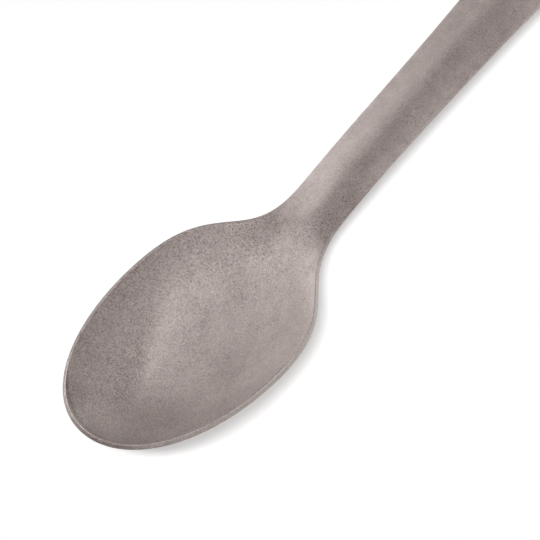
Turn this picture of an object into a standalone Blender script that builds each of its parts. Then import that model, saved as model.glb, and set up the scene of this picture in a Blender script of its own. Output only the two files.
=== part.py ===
"""Camping spoon pressed from one blank of titanium sheet.

An egg-shaped bowl runs through a narrow neck into a long crowned handle, which widens to a round end
with a hanging slot. Units are metres. The spoon lies along X with its tip at -X and rests on the
table at z = 0, on the underside of the bowl and on the end of the handle.
"""
import math

import bmesh
import bpy
import numpy as np
from mathutils import Matrix, Vector
from mathutils.geometry import interpolate_bezier

# Sheet
SHEET = 0.0011              # thickness of the titanium sheet
EDGE_ROUND = 0.0004         # rounding of every edge of the sheet

# Outline, measured at mid-sheet along the spoon from its tip
LENGTH = 0.165              # tip to handle end
BOWL_WIDTH = 0.038          # widest place of the bowl
BOWL_FRONT = 0.0335         # tip to the widest place
BOWL_BACK = 0.0341          # widest place to the neck
BOWL_SQUARENESS = 2.06      # exponent of the front rim, where 2 is an ellipse
SHOULDER_TENSION = 0.65     # how far the full width carries on towards the neck
NECK_TENSION = 0.515        # how far the neck's width carries on towards the bowl
NECK_WIDTH = 0.0117         # narrowest place
HANDLE_TENSION = 0.66       # how far the neck's width carries on along the handle
FLARE_TENSION = 0.30        # how far the end's width carries on towards the neck
END_WIDTH = 0.0168          # widest place of the handle
END_ROUND = 0.008           # length of the rounded end

# Cross sections
BOWL_DEPTH = 0.0092         # rim to the deepest place
BOWL_FULLNESS = 2.2         # exponent of the dish, where 2 is a paraboloid and more has a flatter floor
HANDLE_CROWN = 0.0013       # height of the handle's ridge over its edges
CROWN_FULLNESS = 1.7        # exponent of the crown, where 2 is a parabola and less has a sharper ridge
CROWN_BLEND = 0.0115        # length over which the dish turns into the crown
CROWN_LEAD = 0.013          # how far ahead of the neck that starts

# Side view: the slope of the rim, and the bends that follow it
RIM_SLOPE_TIP = math.radians(-0.5)
RIM_SLOPE_NECK = math.radians(6.0)
NECK_BEND = math.radians(17.0)
NECK_BEND_LENGTH = 0.014    # ends at the neck
EASE_BEND = math.radians(-6.0)
EASE_BEND_LENGTH = 0.022    # starts at the neck
END_BEND = math.radians(-13.0)
END_BEND_LENGTH = 0.055     # ends at the handle's end

# Hanging slot and resting flat
SLOT_LENGTH = 0.013
SLOT_WIDTH = 0.006
SLOT_MARGIN = 0.005         # material between the slot and the handle's end
FOOT_DEPTH = 0.00015        # how much of the sheet the flats under the bowl and the handle's end take

# Mesh
ROWS_FRONT = 14             # rows of faces from the tip to the bowl's widest place
ROWS_MIDDLE = 46            # rows of faces from there to the slot
ROWS_SLOT = 12              # finer rows along the slot, up to the rounded end
ROWS_END = 7                # rows of faces in the rounded end
COLUMNS = 18                # faces across the spoon
ROUND_SEGMENTS = 3          # faces round each rounded edge
CURVE_POINTS = 200          # points that a curve of the outline or the side view is worked out at
PITCH_STEPS = 10            # rounds in which the angle that the spoon rests at is found

NECK = BOWL_FRONT + BOWL_BACK
END_START = LENGTH - END_ROUND
SHARP_ANGLE = math.radians(50.0)
TITANIUM = (0.37, 0.335, 0.32, 1.0)


def smooth_step(value):
    """Rises from 0 to 1 as value goes from 0 to 1, with no slope at either end."""
    value = min(max(value, 0.0), 1.0)
    return value * value * (3.0 - 2.0 * value)


def flowing_edge(start, start_width, start_tension, end, end_width, end_tension):
    """Points of an edge that leaves one width and reaches another along the spoon's direction."""
    reach = end - start
    points = interpolate_bezier(
        Vector((start, start_width / 2)),
        Vector((start + start_tension * reach, start_width / 2)),
        Vector((end - end_tension * reach, end_width / 2)),
        Vector((end, end_width / 2)),
        CURVE_POINTS,
    )
    return np.array(points)


SHOULDER_EDGE = flowing_edge(BOWL_FRONT, BOWL_WIDTH, SHOULDER_TENSION, NECK, NECK_WIDTH, NECK_TENSION)
HANDLE_EDGE = flowing_edge(NECK, NECK_WIDTH, HANDLE_TENSION, END_START, END_WIDTH, FLARE_TENSION)


def half_width(station):
    """Half the spoon's width at a distance from the tip."""
    if station < BOWL_FRONT:
        ahead = 1.0 - station / BOWL_FRONT
        return BOWL_WIDTH / 2 * (1.0 - ahead ** BOWL_SQUARENESS) ** (1.0 / BOWL_SQUARENESS)
    if station < NECK:
        return float(np.interp(station, SHOULDER_EDGE[:, 0], SHOULDER_EDGE[:, 1]))
    if station < END_START:
        return float(np.interp(station, HANDLE_EDGE[:, 0], HANDLE_EDGE[:, 1]))
    beyond = min((station - END_START) / END_ROUND, 1.0)
    return END_WIDTH / 2 * math.sqrt(1.0 - beyond * beyond)


def rim_slope(station):
    """Angle of the rim in side view, rising towards the handle."""
    bend_start = NECK - NECK_BEND_LENGTH
    end_bend_start = LENGTH - END_BEND_LENGTH
    slope = RIM_SLOPE_TIP + (RIM_SLOPE_NECK - RIM_SLOPE_TIP) * min(station / bend_start, 1.0)
    slope += NECK_BEND * smooth_step((station - bend_start) / NECK_BEND_LENGTH)
    slope += EASE_BEND * smooth_step((station - NECK) / EASE_BEND_LENGTH)
    slope += END_BEND * smooth_step((station - end_bend_start) / END_BEND_LENGTH)
    return slope


def rim_line():
    """Stations along the spoon, and the height of the rim at each, from its slope."""
    stations = np.linspace(0.0, LENGTH, CURVE_POINTS)
    rise = np.array([math.tan(rim_slope(station)) for station in stations])
    steps = (rise[1:] + rise[:-1]) / 2 * np.diff(stations)
    return stations, np.concatenate(([0.0], np.cumsum(steps)))


RIM_STATIONS, RIM_HEIGHTS = rim_line()


def sheet_height(station, aside):
    """Height of mid-sheet at a distance from the tip and a distance from the middle line."""
    rim = float(np.interp(station, RIM_STATIONS, RIM_HEIGHTS))
    hollow = (half_width(station) ** 2 - aside ** 2) / (BOWL_WIDTH / 2) ** 2
    dish = BOWL_DEPTH * (1.0 - max(1.0 - hollow, 0.0) ** (BOWL_FULLNESS / 2))
    crowned = smooth_step((station - NECK + CROWN_LEAD) / CROWN_BLEND)
    if crowned == 0.0:
        return rim - dish
    # the crown runs on at its full width to the rounded end, which is trimmed from it
    share = abs(aside) / half_width(min(station, END_START))
    crown = HANDLE_CROWN * (1.0 - share ** CROWN_FULLNESS)
    return rim - dish * (1.0 - crowned) + crown * crowned


def round_end(reach, across):
    """Bends the rows of a square grid to a round end.

    reach runs from 0, at the straight row, to 1, at the end. Gives how far the point lies towards
    the end, and its share of the half width there.
    """
    along = reach * math.sqrt(1.0 - across * across / 2)
    aside = across * math.sqrt(1.0 - reach * reach / 2)
    width_left = math.sqrt(max(1.0 - along * along, 0.0))
    share = aside / width_left if width_left > 0.0 else 0.0
    return along, min(max(share, -1.0), 1.0)


def straight_rows():
    """Stations of the grid's straight rows, from the bowl's widest place to the rounded end."""
    slot_start = LENGTH - SLOT_MARGIN - SLOT_LENGTH - SLOT_WIDTH / 2
    coarse = np.linspace(BOWL_FRONT, slot_start, ROWS_MIDDLE, endpoint=False)
    fine = np.linspace(slot_start, END_START, ROWS_SLOT + 1)
    return np.concatenate((coarse, fine))


STRAIGHT_ROWS = straight_rows()


def blank_point(row, across):
    """Point of the flat blank at a row of the grid, counted from the tip, and a place across it."""
    straight_row = row - ROWS_FRONT
    beyond = straight_row - ROWS_MIDDLE - ROWS_SLOT
    if straight_row < 0:
        along, share = round_end(-straight_row / ROWS_FRONT, across)
        station = BOWL_FRONT * (1.0 - along)
    elif beyond <= 0:
        share = across
        station = STRAIGHT_ROWS[straight_row]
    else:
        along, share = round_end(beyond / ROWS_END, across)
        station = END_START + END_ROUND * along
    return Vector((station, share * half_width(station), 0.0))


def punch_slot(bm):
    """Opens the hanging slot in the flat blank and rounds its ends."""
    centre = Vector((LENGTH - SLOT_MARGIN - SLOT_LENGTH / 2, 0.0, 0.0))
    straight = (SLOT_LENGTH - SLOT_WIDTH) / 2
    outline = {vert for vert in bm.verts if vert.is_boundary}
    waste = []
    for face in bm.faces:
        offset = face.calc_center_median() - centre
        if abs(offset.x) < SLOT_LENGTH / 2 and abs(offset.y) < SLOT_WIDTH / 2:
            waste.append(face)
    bmesh.ops.delete(bm, geom=waste, context='FACES')
    for vert in bm.verts:
        if vert.is_boundary and vert not in outline:
            offset = vert.co - centre
            spine = Vector((min(max(offset.x, -straight), straight), 0.0, 0.0))
            vert.co = centre + spine + (offset - spine).normalized() * SLOT_WIDTH / 2


def new_object(name, bm, collection):
    """Object in a collection, from a bmesh that is then freed."""
    mesh = bpy.data.meshes.new(name)
    bm.to_mesh(mesh)
    bm.free()
    obj = bpy.data.objects.new(name, mesh)
    collection.objects.link(obj)
    return obj


def new_collection(name):
    collection = bpy.data.collections.new(name)
    bpy.context.scene.collection.children.link(collection)
    return collection


def hide_cutter(cutter):
    cutter.hide_render = True
    cutter.display_type = 'WIRE'


def titanium():
    """Blasted titanium, a warm grey."""
    material = bpy.data.materials.new("blasted_titanium")
    material.use_nodes = True
    shader = material.node_tree.nodes["Principled BSDF"]
    shader.inputs["Base Color"].default_value = TITANIUM
    shader.inputs["Metallic"].default_value = 1.0
    shader.inputs["Roughness"].default_value = 0.5
    return material


def resting_pitch(points):
    """Angle about Y that brings the bowl and the handle's end down to one level."""
    bowl = [point for point in points if point.x < NECK]
    handle = [point for point in points if point.x >= NECK]
    pitch = 0.0
    for _ in range(PITCH_STEPS):
        turn = Matrix.Rotation(pitch, 3, 'Y')
        low_bowl = min((turn @ point for point in bowl), key=lambda point: point.z)
        low_end = min((turn @ point for point in handle), key=lambda point: point.z)
        pitch += math.atan2(low_end.z - low_bowl.z, low_end.x - low_bowl.x)
    return pitch


def cut(obj, cutter):
    boolean = obj.modifiers.new(cutter.name, 'BOOLEAN')
    boolean.operation = 'DIFFERENCE'
    boolean.solver = 'EXACT'
    boolean.object = cutter


# Start from an empty scene
for old in list(bpy.data.objects):
    bpy.data.objects.remove(old, do_unlink=True)
spoon_parts = new_collection("camping_spoon")
cutters = new_collection("cutters")

# The blank is cut to its outline, punched, and pressed to shape with its tip at x = 0
rows = ROWS_FRONT + ROWS_MIDDLE + ROWS_SLOT + ROWS_END
bm = bmesh.new()
bmesh.ops.create_grid(bm, x_segments=rows, y_segments=COLUMNS, size=0.5)
for vert in bm.verts:
    vert.co = blank_point(round((vert.co.x + 0.5) * rows), 2.0 * vert.co.y)
punch_slot(bm)
for vert in bm.verts:
    vert.co.z = sheet_height(vert.co.x, vert.co.y)
sheet_points = [vert.co.copy() for vert in bm.verts]
spoon = new_object("spoon", bm, spoon_parts)
spoon.data.materials.append(titanium())
spoon.data.shade_smooth()
solidify = spoon.modifiers.new("sheet", 'SOLIDIFY')
solidify.thickness = SHEET
solidify.offset = 0.0
solidify.use_even_offset = True
rounding = spoon.modifiers.new("edge_round", 'BEVEL')
rounding.width = EDGE_ROUND
rounding.segments = ROUND_SEGMENTS
rounding.limit_method = 'ANGLE'
rounding.angle_limit = SHARP_ANGLE

# The spoon is laid down on its bowl and its handle's end
pitch = resting_pitch(sheet_points)
laid_points = [Matrix.Rotation(pitch, 3, 'Y') @ point for point in sheet_points]
low = min(point.z for point in laid_points)
middle = (min(point.x for point in laid_points) + max(point.x for point in laid_points)) / 2
laid_down = bpy.data.objects.new("laid_down", None)
spoon_parts.objects.link(laid_down)
laid_down.rotation_euler.y = pitch
laid_down.location = (-middle, 0.0, SHEET / 2 - FOOT_DEPTH - low)
spoon.parent = laid_down

# The table takes a flat off the lowest places
bm = bmesh.new()
bmesh.ops.create_cube(bm, size=LENGTH * 2)
bmesh.ops.translate(bm, verts=bm.verts, vec=(0.0, 0.0, -LENGTH))
table_cutter = new_object("table_cutter", bm, cutters)
hide_cutter(table_cutter)
cut(spoon, table_cutter)
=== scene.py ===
import math

import bmesh
import bpy
import numpy as np
from mathutils import Matrix, Vector
from mathutils.geometry import interpolate_bezier


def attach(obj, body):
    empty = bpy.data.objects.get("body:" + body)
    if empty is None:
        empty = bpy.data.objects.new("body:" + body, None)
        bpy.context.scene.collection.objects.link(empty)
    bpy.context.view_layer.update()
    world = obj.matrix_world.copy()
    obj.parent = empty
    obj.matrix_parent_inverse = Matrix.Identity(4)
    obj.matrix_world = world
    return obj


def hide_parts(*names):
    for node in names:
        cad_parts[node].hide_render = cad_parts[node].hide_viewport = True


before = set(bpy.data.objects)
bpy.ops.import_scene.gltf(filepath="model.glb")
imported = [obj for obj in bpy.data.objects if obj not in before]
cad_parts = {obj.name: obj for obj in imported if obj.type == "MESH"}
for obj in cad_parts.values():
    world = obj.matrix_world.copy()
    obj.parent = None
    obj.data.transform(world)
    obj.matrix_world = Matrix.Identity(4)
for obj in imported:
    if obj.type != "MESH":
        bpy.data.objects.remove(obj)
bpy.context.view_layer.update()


# Spoon
# One blank of titanium sheet, cut to its outline, punched with a hanging slot and pressed in one die:
# a dished bowl, a neck and a crowned handle. Its edges are tumbled round and the whole is blasted matt.
SHEET = 0.0011
EDGE_ROUND = 0.0004
LENGTH = 0.165
BOWL_WIDTH = 0.038
BOWL_FRONT = 0.0335
BOWL_BACK = 0.0341
BOWL_SQUARENESS = 2.06
SHOULDER_TENSION = 0.65
NECK_TENSION = 0.515
NECK_WIDTH = 0.0117
HANDLE_TENSION = 0.66
FLARE_TENSION = 0.30
END_WIDTH = 0.0168
END_ROUND = 0.008
BOWL_DEPTH = 0.0092
BOWL_FULLNESS = 2.2
HANDLE_CROWN = 0.0013
CROWN_FULLNESS = 1.7
CROWN_BLEND = 0.0115
CROWN_LEAD = 0.013
RIM_SLOPE_TIP = math.radians(-0.5)
RIM_SLOPE_NECK = math.radians(6.0)
NECK_BEND = math.radians(17.0)
NECK_BEND_LENGTH = 0.014
EASE_BEND = math.radians(-6.0)
EASE_BEND_LENGTH = 0.022
END_BEND = math.radians(-13.0)
END_BEND_LENGTH = 0.055
SLOT_LENGTH = 0.013
SLOT_WIDTH = 0.006
SLOT_MARGIN = 0.005
FOOT_DEPTH = 0.00015
ROWS_FRONT = 14
ROWS_MIDDLE = 46
ROWS_SLOT = 12
ROWS_END = 7
COLUMNS = 18
CURVE_POINTS = 200
NECK = BOWL_FRONT + BOWL_BACK
END_START = LENGTH - END_ROUND
SLOT_CENTRE = LENGTH - SLOT_MARGIN - SLOT_LENGTH / 2
SLOT_STRAIGHT = (SLOT_LENGTH - SLOT_WIDTH) / 2


def smooth_step(value):
    value = min(max(value, 0.0), 1.0)
    return value * value * (3.0 - 2.0 * value)


def flowing_edge(start, start_width, start_tension, end, end_width, end_tension):
    reach = end - start
    points = interpolate_bezier(
        Vector((start, start_width / 2)),
        Vector((start + start_tension * reach, start_width / 2)),
        Vector((end - end_tension * reach, end_width / 2)),
        Vector((end, end_width / 2)),
        CURVE_POINTS,
    )
    return np.array(points)


shoulder_edge = flowing_edge(BOWL_FRONT, BOWL_WIDTH, SHOULDER_TENSION, NECK, NECK_WIDTH, NECK_TENSION)
handle_edge = flowing_edge(NECK, NECK_WIDTH, HANDLE_TENSION, END_START, END_WIDTH, FLARE_TENSION)


def half_width(station):
    if station < BOWL_FRONT:
        ahead = min(1.0 - station / BOWL_FRONT, 1.0)
        return BOWL_WIDTH / 2 * (1.0 - ahead ** BOWL_SQUARENESS) ** (1.0 / BOWL_SQUARENESS)
    if station < NECK:
        return float(np.interp(station, shoulder_edge[:, 0], shoulder_edge[:, 1]))
    if station < END_START:
        return float(np.interp(station, handle_edge[:, 0], handle_edge[:, 1]))
    beyond = min((station - END_START) / END_ROUND, 1.0)
    return END_WIDTH / 2 * math.sqrt(1.0 - beyond * beyond)


def rim_slope(station):
    bend_start = NECK - NECK_BEND_LENGTH
    end_bend_start = LENGTH - END_BEND_LENGTH
    slope = RIM_SLOPE_TIP + (RIM_SLOPE_NECK - RIM_SLOPE_TIP) * min(station / bend_start, 1.0)
    slope += NECK_BEND * smooth_step((station - bend_start) / NECK_BEND_LENGTH)
    slope += EASE_BEND * smooth_step((station - NECK) / EASE_BEND_LENGTH)
    slope += END_BEND * smooth_step((station - end_bend_start) / END_BEND_LENGTH)
    return slope


rim_stations = np.linspace(0.0, LENGTH, CURVE_POINTS)
rim_rise = np.array([math.tan(rim_slope(station)) for station in rim_stations])
rim_steps = (rim_rise[1:] + rim_rise[:-1]) / 2 * np.diff(rim_stations)
rim_heights = np.concatenate(([0.0], np.cumsum(rim_steps)))


def sheet_height(station, aside):
    rim = float(np.interp(station, rim_stations, rim_heights))
    hollow = (half_width(station) ** 2 - aside ** 2) / (BOWL_WIDTH / 2) ** 2
    dish = BOWL_DEPTH * (1.0 - max(1.0 - hollow, 0.0) ** (BOWL_FULLNESS / 2))
    crowned = smooth_step((station - NECK + CROWN_LEAD) / CROWN_BLEND)
    if crowned == 0.0:
        return rim - dish
    share = abs(aside) / half_width(min(station, END_START))
    crown = HANDLE_CROWN * (1.0 - share ** CROWN_FULLNESS)
    return rim - dish * (1.0 - crowned) + crown * crowned


def round_end(reach, across):
    along = reach * math.sqrt(1.0 - across * across / 2)
    aside = across * math.sqrt(1.0 - reach * reach / 2)
    width_left = math.sqrt(max(1.0 - along * along, 0.0))
    share = aside / width_left if width_left > 0.0 else 0.0
    return along, min(max(share, -1.0), 1.0)


slot_rows_start = SLOT_CENTRE - SLOT_LENGTH / 2 - SLOT_WIDTH / 2
straight_rows = np.concatenate((
    np.linspace(BOWL_FRONT, slot_rows_start, ROWS_MIDDLE, endpoint=False),
    np.linspace(slot_rows_start, END_START, ROWS_SLOT + 1),
))


def blank_point(row, across):
    straight_row = row - ROWS_FRONT
    beyond = straight_row - ROWS_MIDDLE - ROWS_SLOT
    if straight_row < 0:
        along, share = round_end(-straight_row / ROWS_FRONT, across)
        station = BOWL_FRONT * (1.0 - along)
    elif beyond <= 0:
        share = across
        station = straight_rows[straight_row]
    else:
        along, share = round_end(beyond / ROWS_END, across)
        station = END_START + END_ROUND * along
    return Vector((station, share * half_width(station), 0.0))


# the flat blank, from a square grid
GRID_HALF = 0.5
rows = ROWS_FRONT + ROWS_MIDDLE + ROWS_SLOT + ROWS_END
bm = bmesh.new()
bmesh.ops.create_grid(bm, x_segments=rows, y_segments=COLUMNS, size=GRID_HALF)
for vert in bm.verts:
    row = round((vert.co.x + GRID_HALF) * rows)
    vert.co = blank_point(row, vert.co.y / GRID_HALF)

# the slot is punched
slot_centre = Vector((SLOT_CENTRE, 0.0, 0.0))
outline = {vert for vert in bm.verts if vert.is_boundary}
waste = []
for face in bm.faces:
    offset = face.calc_center_median() - slot_centre
    if abs(offset.x) < SLOT_LENGTH / 2 and abs(offset.y) < SLOT_WIDTH / 2:
        waste.append(face)
bmesh.ops.delete(bm, geom=waste, context='FACES')
for vert in bm.verts:
    if vert.is_boundary and vert not in outline:
        offset = vert.co - slot_centre
        spine = Vector((min(max(offset.x, -SLOT_STRAIGHT), SLOT_STRAIGHT), 0.0, 0.0))
        vert.co = slot_centre + spine + (offset - spine).normalized() * SLOT_WIDTH / 2

# the blank is pressed, and its cut edges are marked for the edge polish and for the painted shade and
# highlight on them
edge_mark = bm.verts.layers.float.new("edge_mark")
for vert in bm.verts:
    vert.co.z = sheet_height(vert.co.x, vert.co.y)
    vert[edge_mark] = float(vert.is_boundary)

# how it lies on the table, on its bowl and the end of its handle
PITCH_STEPS = 10
pressed = [vert.co.copy() for vert in bm.verts]
bowl_points = [point for point in pressed if point.x < NECK]
handle_points = [point for point in pressed if point.x >= NECK]
pitch = 0.0
for _ in range(PITCH_STEPS):
    turn = Matrix.Rotation(pitch, 3, 'Y')
    low_bowl = min((turn @ point for point in bowl_points), key=lambda point: point.z)
    low_end = min((turn @ point for point in handle_points), key=lambda point: point.z)
    pitch += math.atan2(low_end.z - low_bowl.z, low_end.x - low_bowl.x)
turn = Matrix.Rotation(pitch, 3, 'Y')
laid = [turn @ point for point in pressed]
low = min(point.z for point in laid)
middle = (min(point.x for point in laid) + max(point.x for point in laid)) / 2
lay_down = Matrix.Translation((-middle, 0.0, SHEET / 2 - FOOT_DEPTH - low)) @ turn.to_4x4()

# the sheet gets its thickness, round edges and a fine smooth surface
ROUND_SEGMENTS = 3
SHARP_ANGLE = math.radians(50.0)
SMOOTH_LEVELS = 2
blank_mesh = bpy.data.meshes.new("pressed_blank")
bm.to_mesh(blank_mesh)
bm.free()
blank = bpy.data.objects.new("pressed_blank", blank_mesh)
bpy.context.scene.collection.objects.link(blank)
thickness = blank.modifiers.new("thickness", 'SOLIDIFY')
thickness.thickness = SHEET
thickness.offset = 0.0
thickness.use_even_offset = True
rounding = blank.modifiers.new("rounding", 'BEVEL')
rounding.width = EDGE_ROUND
rounding.segments = ROUND_SEGMENTS
rounding.limit_method = 'ANGLE'
rounding.angle_limit = SHARP_ANGLE
smoothing = blank.modifiers.new("smoothing", 'SUBSURF')
smoothing.levels = SMOOTH_LEVELS
smoothing.render_levels = SMOOTH_LEVELS
bpy.context.view_layer.update()
finished = blank.evaluated_get(bpy.context.evaluated_depsgraph_get())
spoon_mesh = bpy.data.meshes.new_from_object(finished)
spoon_mesh.name = "spoon_titanium"
bpy.data.objects.remove(blank, do_unlink=True)

# the flats that it rests on are taken off underneath
bm = bmesh.new()
bm.from_mesh(spoon_mesh)
bm.transform(lay_down)
everything = bm.verts[:] + bm.edges[:] + bm.faces[:]
bmesh.ops.bisect_plane(
    bm,
    geom=everything,
    plane_co=(0.0, 0.0, 0.0),
    plane_no=(0.0, 0.0, -1.0),
    clear_outer=True,
)
rim_of_flats = [edge for edge in bm.edges if edge.is_boundary]
bmesh.ops.holes_fill(bm, edges=rim_of_flats, sides=0)
for face in bm.faces:
    face.smooth = True

# how far each point of the surface faces out from the middle of the bowl, or sideways from the handle, for
# the painted shade and highlight on the cut side
BOWL_MIDDLE = -0.050
bm.normal_update()
facing_mark = bm.verts.layers.float.new("facing_out")
for vert in bm.verts:
    outwards = Vector((min(vert.co.x - BOWL_MIDDLE, 0.0), vert.co.y, 0.0))
    vert[facing_mark] = vert.normal.dot(outwards.normalized())
bm.to_mesh(spoon_mesh)
bm.free()
spoon = bpy.data.objects.new("spoon_titanium", spoon_mesh)
bpy.context.scene.collection.objects.link(spoon)

# blasted titanium, a warm grey that is a little less red wherever its tone is lighter, in the grain and in
# the painted highlights
TITANIUM = (0.4375, 0.394, 0.375)
TONE_SHIFT = (0.410, 0.394, 0.383)
GLANCING_TINT = (0.5, 0.5, 0.5, 1.0)
titanium = bpy.data.materials.new("blasted_titanium")
titanium.use_nodes = True
shader = titanium.node_tree.nodes["Principled BSDF"]
shader.inputs["Metallic"].default_value = 1.0
shader.inputs["Specular Tint"].default_value = GLANCING_TINT


def add_node(tree, kind, inputs, **settings):
    node = tree.nodes.new(kind)
    for name, value in settings.items():
        setattr(node, name, value)
    for name, value in inputs.items():
        if isinstance(value, bpy.types.NodeSocket):
            tree.links.new(value, node.inputs[name])
        else:
            node.inputs[name].default_value = value
    return node


def titanium_node(kind, inputs, **settings):
    return add_node(titanium.node_tree, kind, inputs, **settings)


def math_node(operation, first, second):
    return titanium_node("ShaderNodeMath", {0: first, 1: second}, operation=operation).outputs[0]


def mix(share, first, second):
    return titanium_node("ShaderNodeMix", {"Factor": share, "A": first, "B": second}).outputs["Result"]


# a ramp runs from one result to another between two places, or between two values of a pattern
def ramp(value, places, results):
    inputs = {
        "Value": value,
        "From Min": places[0],
        "From Max": places[1],
        "To Min": results[0],
        "To Max": results[1],
    }
    return titanium_node("ShaderNodeMapRange", inputs).outputs["Result"]


def noise(where, size, detail, breakup):
    inputs = {"Vector": where, "Scale": 1.0 / size, "Detail": detail, "Roughness": breakup}
    return titanium_node("ShaderNodeTexNoise", inputs).outputs["Fac"]


def mesh_mark(mark):
    return titanium_node("ShaderNodeAttribute", {}, attribute_name=mark).outputs["Fac"]


# the blast leaves a fine grain and short strokes across the spoon, in patches and small blotches
GRAIN_SIZE = 0.00009
GRAIN_DETAIL = 1.0
STROKE_WIDTH = 0.00013
STROKE_SQUEEZE = 0.24
STROKE_DETAIL = 2.0
STROKE_BREAKUP = 0.9
PATCH_SIZE = 0.009
BLOTCH_SIZE = 0.0022
PATCH_DETAIL = 2.0
BREAKUP = 0.6
place = titanium_node("ShaderNodeTexCoord", {}).outputs["Object"]
axes = titanium_node("ShaderNodeSeparateXYZ", {"Vector": place}).outputs
along_spoon = axes["X"]
across_spoon = axes["Y"]
stroke_mapping = {"Vector": place, "Scale": (1.0, STROKE_SQUEEZE, STROKE_SQUEEZE)}
squeezed = titanium_node("ShaderNodeMapping", stroke_mapping).outputs["Vector"]
fine_grain = noise(place, GRAIN_SIZE, GRAIN_DETAIL, BREAKUP)
strokes = noise(squeezed, STROKE_WIDTH, STROKE_DETAIL, STROKE_BREAKUP)
patches = noise(place, PATCH_SIZE, PATCH_DETAIL, BREAKUP)
blotches = noise(place, BLOTCH_SIZE, PATCH_DETAIL, BREAKUP)

# the strokes are strongest on the bowl's left side and at the neck, and on the handle's right half
STROKES_ACROSS_BOWL = ((-0.010, 0.006), (0.22, 1.0))
STROKES_ALONG_BOWL = ((-0.080, -0.030), (0.70, 1.24))
STROKES_ACROSS_HANDLE = ((-0.0015, 0.0015), (1.0, 0.16))
STROKES_ALONG_HANDLE = ((-0.018, 0.006), (0.80, 0.50))
STROKES_PAST_BOWL = ((-0.027, -0.0228), (0.0, 1.0))
STROKES_IN_PATCHES = ((0.35, 0.65), (0.50, 1.0))
STROKE_TONES = ((0.2, 0.8), (-0.645, 0.675))
FLECK_TONES = ((0.28, 0.44), (-0.80, 0.0))
GRAIN_TONES = ((0.2, 0.8), (-1.0, 1.0))
GRAIN_ALONG = ((-0.065, -0.025), (1.24, 0.66))
BLOTCH_TONES = ((0.25, 0.75), (-0.085, 0.085))
bowl_strokes = math_node(
    'MULTIPLY',
    ramp(across_spoon, *STROKES_ACROSS_BOWL),
    ramp(along_spoon, *STROKES_ALONG_BOWL),
)
handle_strokes = math_node(
    'MULTIPLY',
    ramp(across_spoon, *STROKES_ACROSS_HANDLE),
    ramp(along_spoon, *STROKES_ALONG_HANDLE),
)
stroke_place = mix(ramp(along_spoon, *STROKES_PAST_BOWL), bowl_strokes, handle_strokes)
stroke_share = math_node('MULTIPLY', stroke_place, ramp(patches, *STROKES_IN_PATCHES))
flecked_tone = math_node('ADD', ramp(strokes, *STROKE_TONES), ramp(strokes, *FLECK_TONES))
stroke_tone = math_node('MULTIPLY', flecked_tone, stroke_share)
grain_tone = math_node('MULTIPLY', ramp(fine_grain, *GRAIN_TONES), ramp(along_spoon, *GRAIN_ALONG))
blotch_tone = ramp(blotches, *BLOTCH_TONES)

# painted shade and highlight on the rim: its top is painted dull but for the tip's left, and its cut side is
# painted darkest at the tip's right and lightest along the bowl's right; painted shade on the wall just
# inside is darkest at the tip's left, and the handle's edges are painted dark
BOWL_BLAST = ((-0.034, -0.020), (1.0, 0.0))
EDGE = ((0.85, 1.0), (0.0, 1.0))
INSIDE_EDGE = ((0.4, 0.85), (0.0, 1.0))
CUT_SIDE = ((0.2, 0.5), (0.0, 1.0))
BEHIND_TIP = ((-0.082, -0.077), (0.0, 1.0))
INSIDE_BEHIND_TIP = ((-0.078, -0.066), (0.0, 1.0))
LEFT_SIDE = ((-0.008, 0.008), (0.0, 1.0))
TIP_TOP_TONES = ((-0.006, 0.004), (-0.12, 0.32))
TIP_CUT_TONES = ((-0.001, 0.005), (-0.34, 0.06))
TIP_INSIDE_TONES = ((-0.006, 0.006), (-0.12, -0.36))
RIGHT_TOP_TONES = ((-0.076, -0.062), (0.0, -0.24))
RIGHT_CUT_TONES = ((-0.078, -0.058), (-0.02, 0.24))
SIDE_INSIDE_TONES = ((-0.019, -0.012), (0.10, -0.03))
LEFT_TOP_TONE = -0.23
LEFT_CUT_TONE = -0.20
HANDLE_TOP_TONE = -0.45
HANDLE_CUT_TONE = -0.05
bowl_share = ramp(along_spoon, *BOWL_BLAST)
near_edge = mesh_mark("edge_mark")
edge_share = ramp(near_edge, *EDGE)
inside_share = math_node('SUBTRACT', ramp(near_edge, *INSIDE_EDGE), edge_share)
cut_share = ramp(mesh_mark("facing_out"), *CUT_SIDE)
behind_tip = ramp(along_spoon, *BEHIND_TIP)
left_share = ramp(across_spoon, *LEFT_SIDE)
side_top_tone = mix(left_share, ramp(along_spoon, *RIGHT_TOP_TONES), LEFT_TOP_TONE)
side_cut_tone = mix(left_share, ramp(along_spoon, *RIGHT_CUT_TONES), LEFT_CUT_TONE)
rim_top_tone = mix(behind_tip, ramp(across_spoon, *TIP_TOP_TONES), side_top_tone)
rim_cut_tone = mix(behind_tip, ramp(across_spoon, *TIP_CUT_TONES), side_cut_tone)
rim_tone = mix(cut_share, rim_top_tone, rim_cut_tone)
handle_edge_tone = mix(cut_share, HANDLE_TOP_TONE, HANDLE_CUT_TONE)
edge_tone = math_node('MULTIPLY', edge_share, mix(bowl_share, handle_edge_tone, rim_tone))
wall_tone = mix(
    ramp(along_spoon, *INSIDE_BEHIND_TIP),
    ramp(across_spoon, *TIP_INSIDE_TONES),
    ramp(across_spoon, *SIDE_INSIDE_TONES),
)
inside_tone = math_node('MULTIPLY', math_node('MULTIPLY', inside_share, wall_tone), bowl_share)
# the rim's painted shade and highlight, on its top, cut side and inner wall
rim_painted_light_tone = math_node('ADD', edge_tone, inside_tone)
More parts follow.
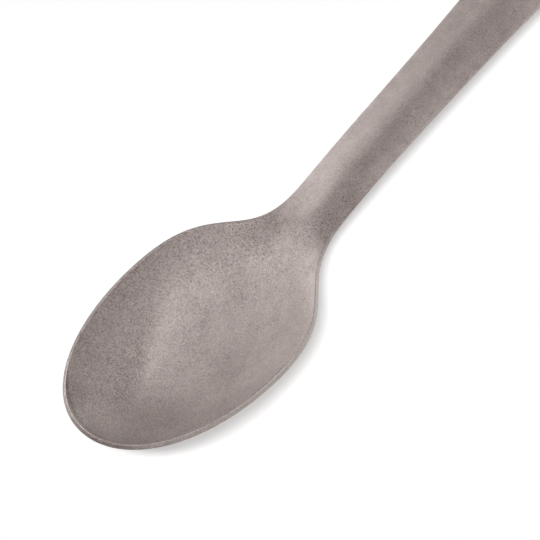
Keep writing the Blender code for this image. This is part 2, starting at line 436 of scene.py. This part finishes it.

# a painted highlight streak across the bowl, with a band of painted shade beside it towards the tip and the
# left
STREAK_PLACE = (-0.0603, 0.0074, 0.0)
STREAK_TURN = (0.0, 0.0, math.radians(-150.7))
STREAK_START = ((-0.016, -0.004), (0.0, 1.0))
STREAK_END = ((0.008, 0.018), (1.0, 0.0))
PAINTED_SHADE_TONES = ((-0.009, -0.0015), (0.0, -0.13))
PAINTED_HIGHLIGHT_TONES = ((-0.0015, 0.0012), (0.0, 0.30))
FADING_TONES = ((0.0015, 0.008), (0.0, -0.17))
streak_mapping = {"Vector": place, "Location": STREAK_PLACE, "Rotation": STREAK_TURN}
streak = titanium_node("ShaderNodeMapping", streak_mapping, vector_type='TEXTURE').outputs["Vector"]
streak_axes = titanium_node("ShaderNodeSeparateXYZ", {"Vector": streak}).outputs
streak_along = streak_axes["X"]
streak_across = streak_axes["Y"]
streak_share = math_node('MULTIPLY', ramp(streak_along, *STREAK_START), ramp(streak_along, *STREAK_END))
highlight_tone = math_node('ADD', ramp(streak_across, *PAINTED_HIGHLIGHT_TONES), ramp(streak_across, *FADING_TONES))
band_tone = math_node('ADD', ramp(streak_across, *PAINTED_SHADE_TONES), highlight_tone)
# the painted highlight streak with its painted shade band
painted_streak_tone = math_node('MULTIPLY', band_tone, streak_share)

# spots of painted highlight and painted shade, which fade out to their edges: place along and across
# the spoon, half length, half width and tone
PAINTED_LIGHT_SPOTS = {
    "bowl floor": (-0.0475, 0.0009, 0.008, 0.008, 0.15),
    "bowl floor, right": (-0.0625, -0.0070, 0.008, 0.007, 0.15),
    "bowl floor, back right": (-0.0490, -0.0079, 0.006, 0.005, 0.11),
    "bowl floor, back left": (-0.0440, 0.0062, 0.007, 0.0055, 0.17),
    "bowl wall, right": (-0.0500, -0.0155, 0.014, 0.006, 0.14),
    "bowl wall, left": (-0.0685, 0.0155, 0.007, 0.004, -0.08),
    "tip": (-0.0785, -0.0005, 0.005, 0.009, 0.15),
    "tip, left": (-0.0795, 0.0082, 0.006, 0.006, -0.19),
    "shoulder, left": (-0.0304, 0.0064, 0.006, 0.006, -0.17),
    "neck, left": (-0.0222, 0.0034, 0.009, 0.005, -0.20),
    "neck, right": (-0.0245, -0.0026, 0.005, 0.005, -0.10),
    "handle root": (-0.0090, 0.0005, 0.008, 0.0035, -0.14),
    "handle root, right": (-0.0155, -0.0058, 0.011, 0.0042, -0.31),
    "handle ridge": (0.0160, 0.0004, 0.034, 0.0020, -0.06),
    "handle, left": (0.0100, 0.0024, 0.023, 0.0037, 0.20),
    "handle, right": (0.0260, -0.0070, 0.022, 0.0038, -0.17),
    "handle, right edge": (0.0020, -0.0075, 0.040, 0.0028, -0.38),
    "handle, far right": (0.0380, -0.0036, 0.018, 0.0045, -0.13),
}


def painted_light_spot(label, x, y, half_length, half_spot_width, spot_tone):
    spot_mapping = {
        "Vector": place,
        "Location": (x, y, 0.0),
        "Scale": (half_length, half_spot_width, 1.0),
    }
    around = titanium_node("ShaderNodeMapping", spot_mapping, vector_type='TEXTURE').outputs["Vector"]
    off_centre = titanium_node("ShaderNodeVectorMath", {0: around}, operation='LENGTH').outputs["Value"]
    fade = {"Value": off_centre, "To Min": spot_tone, "To Max": 0.0}
    spot = titanium_node("ShaderNodeMapRange", fade, interpolation_type='SMOOTHSTEP', label=label)
    return spot.outputs["Result"]


# the tone adds the painted highlight streak, the grain, strokes and blotches, the rim's painted shade and
# highlight, and the painted light spots
tone = painted_streak_tone
for part_tone in (stroke_tone, grain_tone, blotch_tone, rim_painted_light_tone):
    tone = math_node('ADD', tone, part_tone)
for label, spot_sizes in PAINTED_LIGHT_SPOTS.items():
    tone = math_node('ADD', tone, painted_light_spot(label, *spot_sizes))
colour_inputs = {0: tone, 1: TONE_SHIFT, 2: TITANIUM}
colour = titanium_node("ShaderNodeVectorMath", colour_inputs, operation='MULTIPLY_ADD').outputs["Vector"]
titanium.node_tree.links.new(colour, shader.inputs["Base Color"])

# the bowl is blasted rougher than the handle, the edges are tumbled smoother, and the grain stands in relief
BLAST_ROUGHNESS = ((0.0, 1.0), (0.30, 0.50))
BLOTCH_ROUGHNESS = ((0.25, 0.75), (-0.015, 0.015))
EDGE_POLISH = 0.10
GRAIN_RELIEF = 0.4
RELIEF_STRENGTH = 1.0
RELIEF_DEPTH = 0.00002
matt = math_node('ADD', ramp(bowl_share, *BLAST_ROUGHNESS), ramp(blotches, *BLOTCH_ROUGHNESS))
roughness = math_node('SUBTRACT', matt, math_node('MULTIPLY', edge_share, EDGE_POLISH))
titanium.node_tree.links.new(roughness, shader.inputs["Roughness"])
stroke_relief = math_node('MULTIPLY', strokes, stroke_share)
relief = math_node('ADD', stroke_relief, math_node('MULTIPLY', fine_grain, GRAIN_RELIEF))
relief_inputs = {"Height": relief, "Strength": RELIEF_STRENGTH, "Distance": RELIEF_DEPTH}
bump = titanium_node("ShaderNodeBump", relief_inputs).outputs["Normal"]
titanium.node_tree.links.new(bump, shader.inputs["Normal"])
spoon_mesh.materials.clear()
spoon_mesh.materials.append(titanium)
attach(spoon, "root")
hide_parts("spoon")


# Table
# A plain table top under the spoon, painted matt white, with no edge in view. It shows white to the camera
# and in the metal, and still takes the spoon's shadow.
TABLE_SIZE = 3.0
TABLE_PAINT = (0.8, 0.8, 0.8, 1.0)
TABLE_GLOW = 0.47
GLOW_COLOUR = (1.0, 1.0, 1.0, 1.0)
bm = bmesh.new()
bmesh.ops.create_grid(bm, x_segments=1, y_segments=1, size=TABLE_SIZE / 2)
table_mesh = bpy.data.meshes.new("table_top")
bm.to_mesh(table_mesh)
bm.free()
table = bpy.data.objects.new("table_top", table_mesh)
bpy.context.scene.collection.objects.link(table)
paint = bpy.data.materials.new("white_paint")
paint.use_nodes = True
paint_shader = paint.node_tree.nodes["Principled BSDF"]
paint_shader.inputs["Base Color"].default_value = TABLE_PAINT
paint_shader.inputs["Roughness"].default_value = 1.0
paint_shader.inputs["Specular IOR Level"].default_value = 0.0
paint_shader.inputs["Emission Color"].default_value = GLOW_COLOUR


def paint_math(operation, first, second):
    return add_node(paint.node_tree, "ShaderNodeMath", {0: first, 1: second}, operation=operation).outputs[0]


rays = add_node(paint.node_tree, "ShaderNodeLightPath", {}).outputs
seen_or_mirrored = paint_math('MAXIMUM', rays["Is Camera Ray"], rays["Is Glossy Ray"])
shown = paint_math('MAXIMUM', seen_or_mirrored, rays["Is Transmission Ray"])
glow = paint_math('MULTIPLY', shown, TABLE_GLOW)
paint.node_tree.links.new(glow, paint_shader.inputs["Emission Strength"])
table_mesh.materials.append(paint)


# Camera
# A long lens high above the bowl, off to its right and a little towards the tip, turned so that the handle
# leaves the picture at the top right. Its directions and aim are in the pressed sheet's own axes, before the
# spoon is laid down.
FRAME_PIXELS = 540
PIXELS_PER_MM = 5.1055
MM_PER_M = 1000.0
SENSOR = 36.0
CAMERA_DISTANCE = 0.6
CLIP_NEAR = 0.01
CLIP_FAR = 10.0
SHEET_TO_CAMERA = Vector((-0.39875, -0.35671, 0.84484))
SHEET_IMAGE_RIGHT = Vector((0.68666, -0.72677, 0.01724))
SHEET_AIM = Vector((0.0490425, -0.0027481, 0.005))
lay_turn = lay_down.to_3x3()
to_camera = (lay_turn @ SHEET_TO_CAMERA).normalized()
image_right = (lay_turn @ SHEET_IMAGE_RIGHT).normalized()
image_up = to_camera.cross(image_right)
camera_turn = Matrix((image_right, image_up, to_camera)).transposed()
camera_place = camera_turn.to_4x4()
camera_place.translation = lay_down @ SHEET_AIM + to_camera * CAMERA_DISTANCE
camera_data = bpy.data.cameras.new("camera")
camera_data.sensor_width = SENSOR
camera_data.lens = PIXELS_PER_MM * CAMERA_DISTANCE * MM_PER_M * SENSOR / FRAME_PIXELS
camera_data.clip_start = CLIP_NEAR
camera_data.clip_end = CLIP_FAR
camera = bpy.data.objects.new("camera", camera_data)
camera.matrix_world = camera_place
bpy.context.scene.collection.objects.link(camera)
bpy.context.scene.camera = camera


# Light
# A plain studio whose room is faintly warm. Soft boxes stand in a ring round the table and shine on the
# metal alone, and a lamp beside the camera lights the table top and casts the spoon's soft shadow.
ROOM_COLOUR = (1.10, 1.0, 0.98, 1.0)
ROOM_STRENGTH = 0.37
LIT_PLACE = Vector((-0.03, 0.0, 0.01))
BOX_DISTANCE = 0.7
LAMP_LEFT = 0.22
LAMP_UP = 0.09
LAMP_DISTANCE = 2.0
LAMP_WIDTH = 1.0
LAMP_HEIGHT = 0.24
LAMP_WATTS = 29.0
room = bpy.data.worlds.new("studio_room")
room.use_nodes = True
room.node_tree.nodes["Background"].inputs["Color"].default_value = ROOM_COLOUR
room.node_tree.nodes["Background"].inputs["Strength"].default_value = ROOM_STRENGTH
room.cycles_visibility.diffuse = False
bpy.context.scene.world = room


def add_lamp(name, direction, distance, width, height, watts):
    lamp_data = bpy.data.lights.new(name, 'AREA')
    lamp_data.shape = 'ELLIPSE'
    lamp_data.size = width
    lamp_data.size_y = height
    lamp_data.energy = watts
    lamp = bpy.data.objects.new(name, lamp_data)
    lamp.location = LIT_PLACE + direction * distance
    lamp.rotation_euler = direction.to_track_quat('Z', 'Y').to_euler()
    bpy.context.scene.collection.objects.link(lamp)
    return lamp


# angles in degrees: azimuth from the handle's direction, elevation, and half the angle that the box fills
def add_soft_box(name, azimuth, elevation, spread, watts):
    level = Vector((math.cos(math.radians(azimuth)), math.sin(math.radians(azimuth)), 0.0))
    rise = math.radians(elevation)
    direction = level * math.cos(rise) + Vector((0.0, 0.0, math.sin(rise)))
    width = 2.0 * BOX_DISTANCE * math.tan(math.radians(spread))
    lamp = add_lamp(name, direction, BOX_DISTANCE, width, width, watts)
    lamp.visible_diffuse = False


add_soft_box("left_box", azimuth=108.0, elevation=31.0, spread=30.0, watts=1.340)
add_soft_box("left_high_box", azimuth=91.0, elevation=65.0, spread=15.0, watts=0.195)
add_soft_box("left_low_box", azimuth=105.0, elevation=3.0, spread=8.5, watts=0.620)
add_soft_box("left_strip", azimuth=73.0, elevation=5.0, spread=10.5, watts=0.650)
add_soft_box("left_handle_box", azimuth=43.0, elevation=37.0, spread=8.5, watts=0.330)
add_soft_box("handle_box", azimuth=-2.0, elevation=48.0, spread=8.5, watts=0.370)
add_soft_box("handle_low_box", azimuth=0.0, elevation=1.0, spread=13.0, watts=0.205)
add_soft_box("right_handle_box", azimuth=-54.0, elevation=46.0, spread=14.0, watts=0.520)
add_soft_box("right_wide_box", azimuth=-54.0, elevation=46.0, spread=35.0, watts=0.410)
add_soft_box("right_box", azimuth=-119.0, elevation=54.0, spread=24.0, watts=0.670)
add_soft_box("tip_box", azimuth=168.0, elevation=45.0, spread=8.5, watts=0.890)
beside_camera = (to_camera - image_right * LAMP_LEFT + image_up * LAMP_UP).normalized()
camera_lamp = add_lamp("camera_lamp", beside_camera, LAMP_DISTANCE, LAMP_WIDTH, LAMP_HEIGHT, LAMP_WATTS)
camera_lamp.rotation_euler = camera_turn.to_euler()
camera_lamp.visible_glossy = False
bpy.context.scene.view_settings.view_transform = 'Standard'
